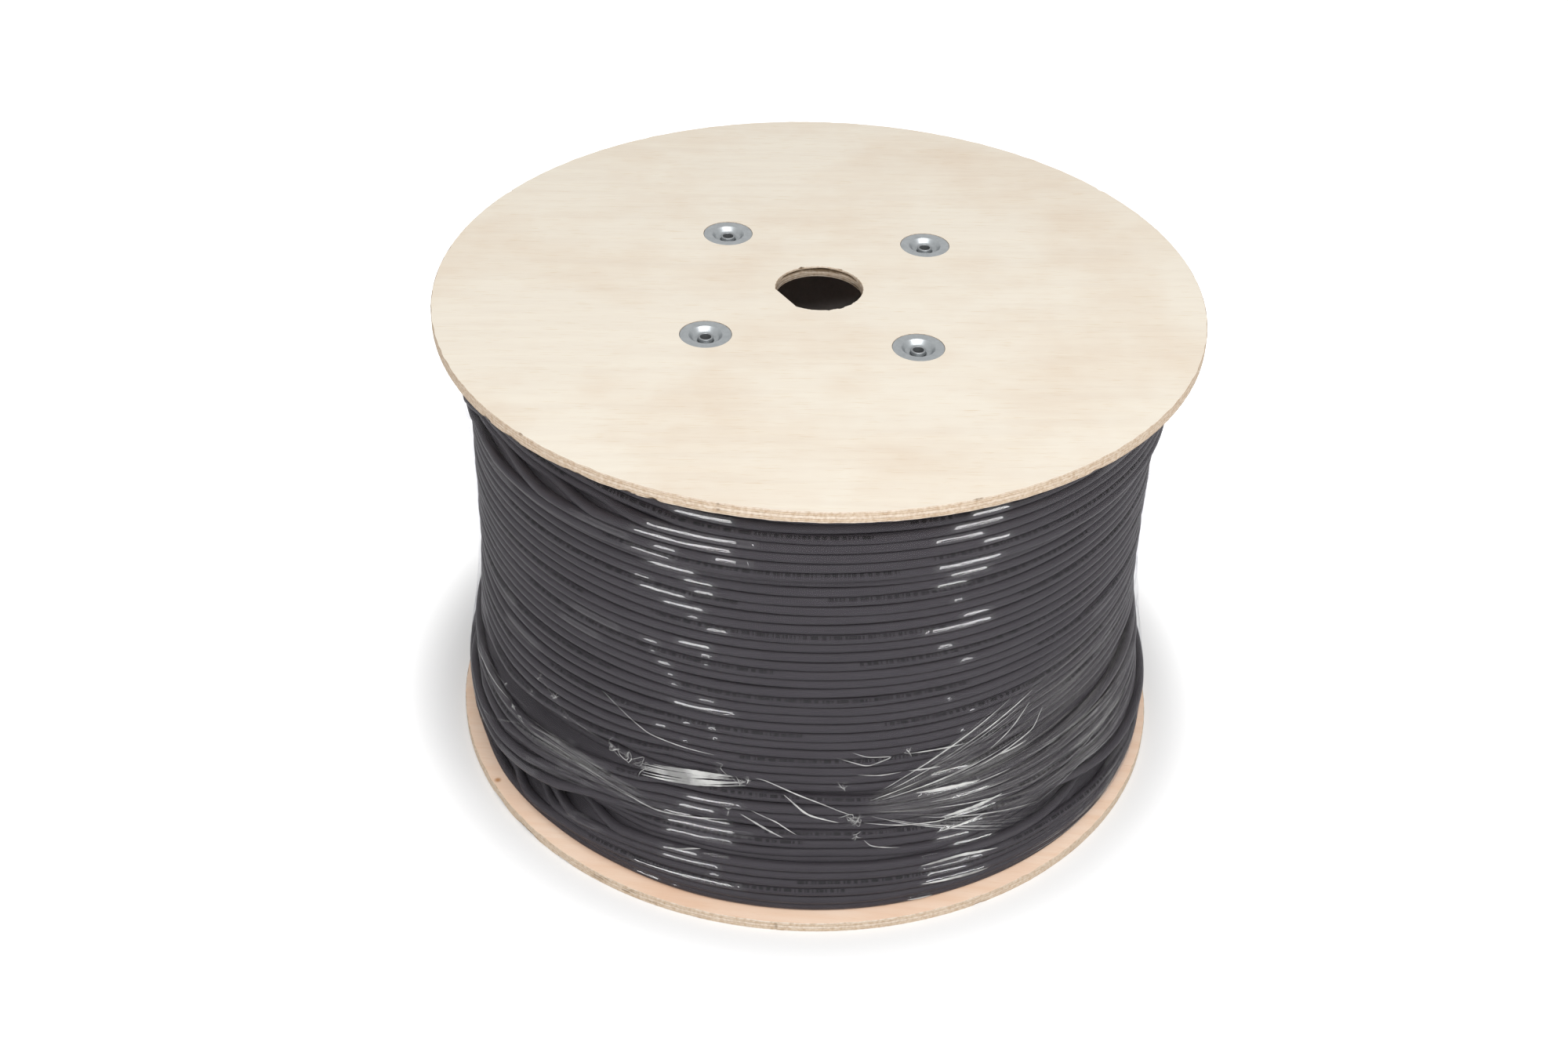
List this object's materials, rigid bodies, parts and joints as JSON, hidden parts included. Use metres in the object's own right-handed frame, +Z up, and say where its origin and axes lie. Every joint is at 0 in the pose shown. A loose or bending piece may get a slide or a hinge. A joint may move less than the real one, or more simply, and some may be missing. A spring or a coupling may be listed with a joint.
{
  "type": "cable drum",
  "caption": "Plywood cable drum standing on end, full of dark cable under clear stretch film, with a central axle bore and steel tie tubes rolled over in dished washers.",
  "frame": {"origin": "centre of the bottom face of the bottom flange, which stands on the floor", "axes": "+Z up along the axle bore; the tie tubes stand on a circle around +Z, the first 42 degrees from +X towards +Y"},
  "size_m": [0.5299, 0.53, 0.355],
  "materials": {
    "plywood": "raw, sanded",
    "core_board": "matte",
    "cable_jacket": "satin",
    "stretch_film": "clear, glossy",
    "zinc_plated_steel": "zinc plated"
  },
  "bodies": {
    "root": {"bottom_flange": "plywood", "top_flange": "plywood", "core_tube": "core_board", "wound_cable": "cable_jacket", "stretch_film": "stretch_film", "tie_tube_1": "zinc_plated_steel", "tie_tube_2": "zinc_plated_steel", "tie_tube_3": "zinc_plated_steel", "tie_tube_4": "zinc_plated_steel", "cup_washers_top": "zinc_plated_steel", "cup_washers_bottom": "zinc_plated_steel"}
  },
  "joints": []
}
